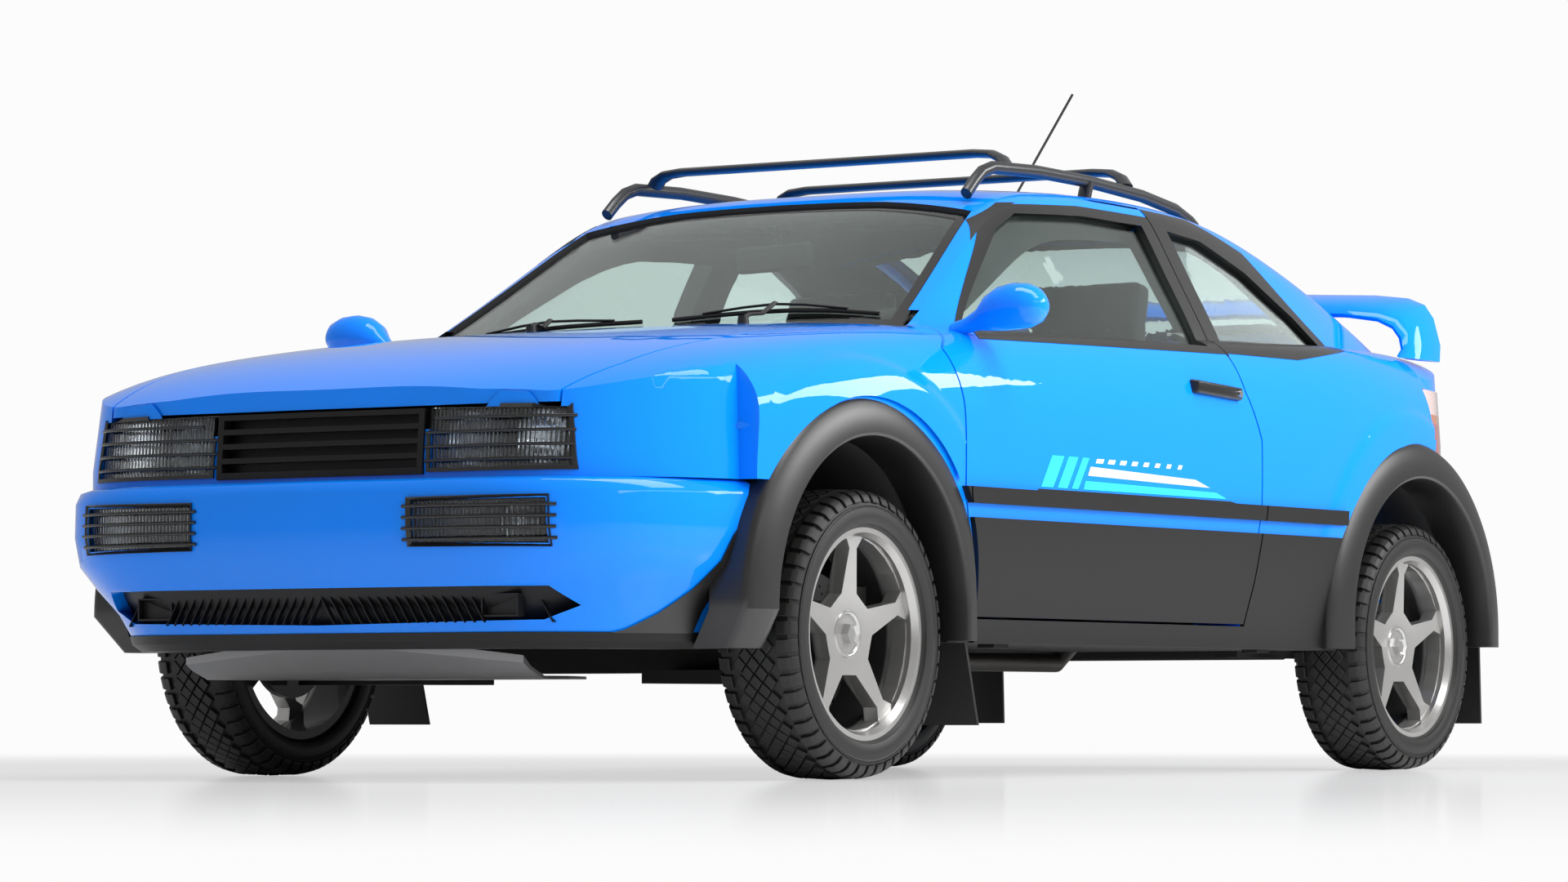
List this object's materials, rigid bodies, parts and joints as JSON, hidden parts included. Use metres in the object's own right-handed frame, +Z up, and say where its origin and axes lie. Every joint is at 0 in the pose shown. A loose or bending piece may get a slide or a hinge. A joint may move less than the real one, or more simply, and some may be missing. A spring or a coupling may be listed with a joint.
{
  "type": "rally car",
  "caption": "Small two-door coupe in rally trim with opening doors, bonnet and tailgate, steered front wheels, wide arch flares, lamp guards, roof rack and mud flaps.",
  "frame": {"origin": "on the ground under the middle of the car's length and width", "axes": "+X to the car's left, -Y forward, +Z up"},
  "size_m": [1.912, 4.0235, 1.6672],
  "materials": {
    "paint": "gloss bright blue",
    "bumper_paint": "gloss bright blue over plastic",
    "black_plastic": "satin charcoal",
    "glass": "green tinted",
    "lamp_glass": "smoked, fluted",
    "lamp_bowl": "dimmed reflector",
    "tail_lens": "red and amber lens",
    "underbody": "matt black",
    "silver_plate": "satin",
    "rack_paint": "satin dark grey",
    "rubber": "matt",
    "tyre": "matt",
    "alloy": "silver lacquer",
    "seat_fabric": "black cloth",
    "trim_plastic": "grained",
    "cast_iron": "as cast",
    "steel": "dull"
  },
  "bodies": {
    "body": {"antenna": "black_plastic", "arch_flares": "black_plastic", "bay_frame": "underbody", "dashboard": "trim_plastic", "engine_block": "cast_iron", "exhaust": "steel", "fixed_glass": "glass", "floor_and_bulkhead": "underbody", "front_bumper": "bumper_paint", "front_lip": "black_plastic", "front_seats": "seat_fabric", "front_suspension": "cast_iron", "front_wings": "paint", "grilles": "black_plastic", "lamp_bowls": "lamp_bowl", "lamp_guards": "black_plastic", "lamp_lenses": "lamp_glass", "mud_flaps": "rubber", "rear_axle": "underbody", "rear_bumper": "bumper_paint", "rear_seat": "seat_fabric", "roof": "paint", "roof_rack": "rack_paint", "side_cladding": "black_plastic", "side_frames": "paint", "skid_plate": "silver_plate", "tail_lamps": "tail_lens", "wipers": "black_plastic"},
    "bonnet": {"bonnet": "paint"},
    "tailgate": {"tailgate": "paint", "rear_glass": "glass", "rear_wing": "paint"},
    "door_left": {"door_left": "paint", "door_glass_left": "glass", "door_trim_left": "black_plastic", "mirror_left": "bumper_paint"},
    "door_right": {"door_right": "paint", "door_glass_right": "glass", "door_trim_right": "black_plastic", "mirror_right": "bumper_paint"},
    "steering_wheel": {"steering_wheel": "trim_plastic"},
    "knuckle_fl": {"knuckle_fl": "cast_iron"},
    "knuckle_fr": {"knuckle_fr": "cast_iron"},
    "wheel_fl": {"tyre_fl": "tyre", "rim_fl": "alloy"},
    "wheel_fr": {"tyre_fr": "tyre", "rim_fr": "alloy"},
    "wheel_rl": {"tyre_rl": "tyre", "rim_rl": "alloy"},
    "wheel_rr": {"tyre_rr": "tyre", "rim_rr": "alloy"}
  },
  "joints": [
    {"name": "bonnet_hinge", "type": "hinge", "parent": "body", "child": "bonnet", "pos_m": [0, -0.8412, 0.972], "axis": [-1, 0, 0], "range_deg": [0, 50]},
    {"name": "tailgate_hinge", "type": "hinge", "parent": "body", "child": "tailgate", "pos_m": [0, 0.7988, 1.333], "axis": [1, 0, 0], "range_deg": [0, 56]},
    {"name": "door_left_hinge", "type": "hinge", "parent": "body", "child": "door_left", "pos_m": [0.86, -0.8012, 0.62], "axis": [0, 0, -1], "range_deg": [0, 58]},
    {"name": "door_right_hinge", "type": "hinge", "parent": "body", "child": "door_right", "pos_m": [-0.86, -0.8012, 0.62], "axis": [0, 0, 1], "range_deg": [0, 58]},
    {"name": "steer_left", "type": "hinge", "parent": "body", "child": "knuckle_fl", "pos_m": [0.7, -1.1532, 0.298], "axis": [0, 0, 1], "range_deg": [-32, 32]},
    {"name": "steer_right", "type": "hinge", "parent": "body", "child": "knuckle_fr", "pos_m": [-0.7, -1.1532, 0.298], "axis": [0, 0, 1], "range_deg": [-32, 32]},
    {"name": "steering_wheel_turn", "type": "hinge", "parent": "body", "child": "steering_wheel", "pos_m": [0.35, -0.2482, 0.85], "axis": [0, 0.9063, 0.4226], "range_deg": [-496, 496]},
    {"name": "wheel_fl_spin", "type": "hinge", "parent": "knuckle_fl", "child": "wheel_fl", "pos_m": [0.73, -1.1532, 0.298], "axis": [1, 0, 0], "continuous": true},
    {"name": "wheel_fr_spin", "type": "hinge", "parent": "knuckle_fr", "child": "wheel_fr", "pos_m": [-0.73, -1.1532, 0.298], "axis": [1, 0, 0], "continuous": true},
    {"name": "wheel_rl_spin", "type": "hinge", "parent": "body", "child": "wheel_rl", "pos_m": [0.73, 1.3168, 0.298], "axis": [1, 0, 0], "continuous": true},
    {"name": "wheel_rr_spin", "type": "hinge", "parent": "body", "child": "wheel_rr", "pos_m": [-0.73, 1.3168, 0.298], "axis": [1, 0, 0], "continuous": true}
  ],
  "couplings": [
    {"joint": "steer_right", "follows": "steer_left", "ratio": 1},
    {"joint": "steering_wheel_turn", "follows": "steer_left", "ratio": 15}
  ]
}
